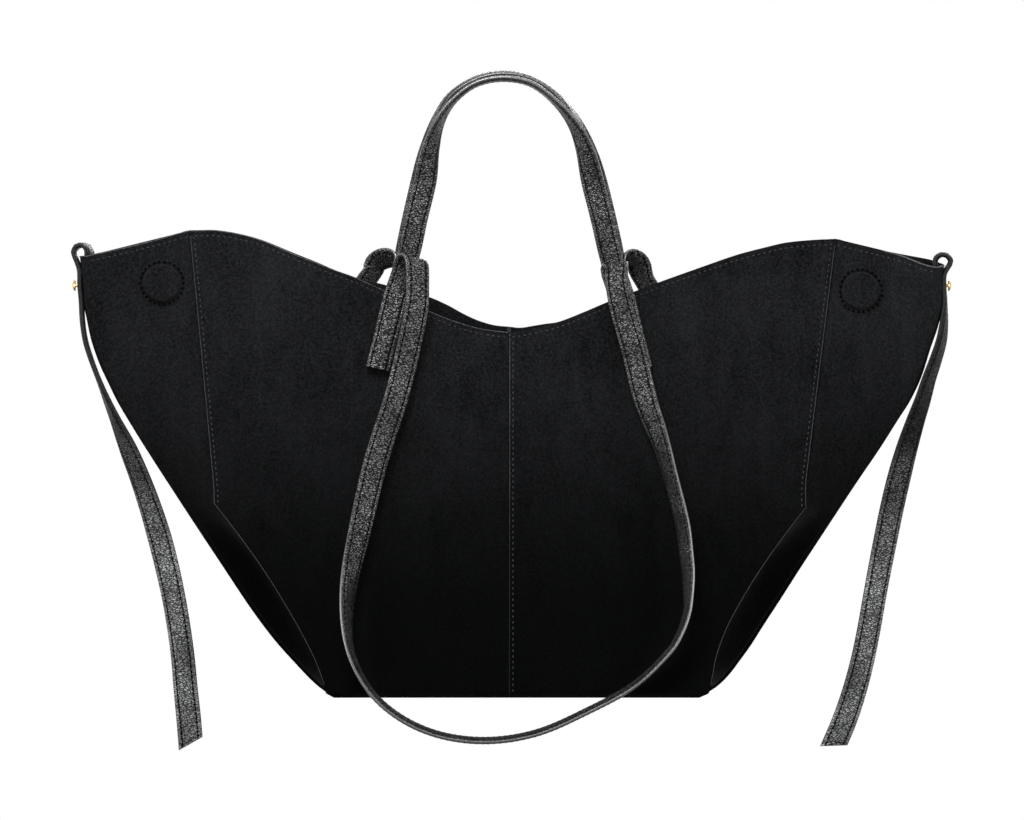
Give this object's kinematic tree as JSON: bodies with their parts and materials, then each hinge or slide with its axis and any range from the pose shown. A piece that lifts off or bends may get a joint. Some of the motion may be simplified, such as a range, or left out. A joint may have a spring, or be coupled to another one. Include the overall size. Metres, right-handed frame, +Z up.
{
  "type": "slouchy tote bag",
  "caption": "Soft suede tote with wing-shaped sides, short handles, long shoulder straps, covered snap magnets and side ties pinned by brass studs.",
  "frame": {"origin": "the carry point, midway between the two short handles, just under their tops", "axes": "+Z up, +X to the bag's right seen from the front, -Y out of the front panel"},
  "size_m": [0.5778, 0.178, 0.4406],
  "materials": {
    "suede": "black napped suede, matt, softly mottled",
    "strap_leather": "black pebbled strap leather, semi-gloss, edge stitched",
    "brass": "polished brass studs",
    "magnet_steel": "hidden disc magnets",
    "fibreboard": "dark pressed fibreboard stiffener"
  },
  "bodies": {
    "bag": {"front_left_panel": "suede", "front_right_panel": "suede", "rear_left_panel": "suede", "rear_right_panel": "suede", "base_panel": "suede", "base_board": "fibreboard", "left_gusset": "suede", "left_wing_fold": "suede", "right_gusset": "suede", "right_wing_fold": "suede", "front_left_handle_end": "strap_leather", "front_left_strap_end": "strap_leather", "front_left_handle_bend": "strap_leather", "front_left_strap_fold": "strap_leather", "front_right_handle_end": "strap_leather", "front_right_strap_end": "strap_leather", "front_right_handle_bend": "strap_leather", "front_right_strap_fold": "strap_leather", "rear_left_handle_end": "strap_leather", "rear_left_strap_end": "strap_leather", "rear_left_handle_bend": "strap_leather", "rear_left_strap_fold": "strap_leather", "rear_right_handle_end": "strap_leather", "rear_right_strap_end": "strap_leather", "rear_right_handle_bend": "strap_leather", "rear_right_strap_fold": "strap_leather"},
    "front_handle": {"front_short_handle": "strap_leather"},
    "front_strap": {"front_long_strap": "strap_leather"},
    "rear_handle": {"rear_short_handle": "strap_leather"},
    "rear_strap": {"rear_long_strap": "strap_leather"},
    "left_wing": {"left_wing": "suede", "left_front_magnet": "magnet_steel", "left_front_magnet_cover": "suede", "left_rear_magnet": "magnet_steel", "left_rear_magnet_cover": "suede", "left_tie_loop": "strap_leather", "left_stud": "brass", "left_stud_cap": "brass"},
    "left_tie": {"left_tie": "strap_leather"},
    "right_wing": {"right_wing": "suede", "right_front_magnet": "magnet_steel", "right_front_magnet_cover": "suede", "right_rear_magnet": "magnet_steel", "right_rear_magnet_cover": "suede", "right_tie_loop": "strap_leather", "right_stud": "brass", "right_stud_cap": "brass"},
    "right_tie": {"right_tie": "strap_leather"}
  },
  "joints": [
    {"name": "front_handle_drop", "type": "hinge", "parent": "bag", "child": "front_handle", "pos_m": [0, -0.02575, -0.1227], "axis": [1, 0, 0], "range_deg": [0, 165], "deforming": ["front_left_handle_bend", "front_right_handle_bend"]},
    {"name": "front_strap_lift", "type": "hinge", "parent": "bag", "child": "front_strap", "pos_m": [0, -0.02575, -0.1227], "axis": [-1, 0, 0], "range_deg": [0, 150], "deforming": ["front_left_strap_fold", "front_right_strap_fold"]},
    {"name": "rear_handle_drop", "type": "hinge", "parent": "bag", "child": "rear_handle", "pos_m": [0, 0.02575, -0.1227], "axis": [-1, 0, 0], "range_deg": [0, 165], "deforming": ["rear_left_handle_bend", "rear_right_handle_bend"]},
    {"name": "rear_strap_lift", "type": "hinge", "parent": "bag", "child": "rear_strap", "pos_m": [0, 0.02575, -0.1227], "axis": [1, 0, 0], "range_deg": [0, 150], "deforming": ["rear_left_strap_fold", "rear_right_strap_fold"]},
    {"name": "left_wing_fold", "type": "hinge", "parent": "bag", "child": "left_wing", "pos_m": [-0.203, 0, -0.29169], "axis": [-0.0679, 0, 0.9977], "range_deg": [-45, 45], "deforming": ["left_wing_fold"]},
    {"name": "left_tie_swing", "type": "hinge", "parent": "left_wing", "child": "left_tie", "pos_m": [-0.2825, 0, -0.13269], "axis": [1, 0, 0], "range_deg": [-45, 45]},
    {"name": "right_wing_fold", "type": "hinge", "parent": "bag", "child": "right_wing", "pos_m": [0.203, 0, -0.29169], "axis": [0.0679, 0, 0.9977], "range_deg": [-45, 45], "deforming": ["right_wing_fold"]},
    {"name": "right_tie_swing", "type": "hinge", "parent": "right_wing", "child": "right_tie", "pos_m": [0.2825, 0, -0.13269], "axis": [1, 0, 0], "range_deg": [-45, 45]}
  ]
}
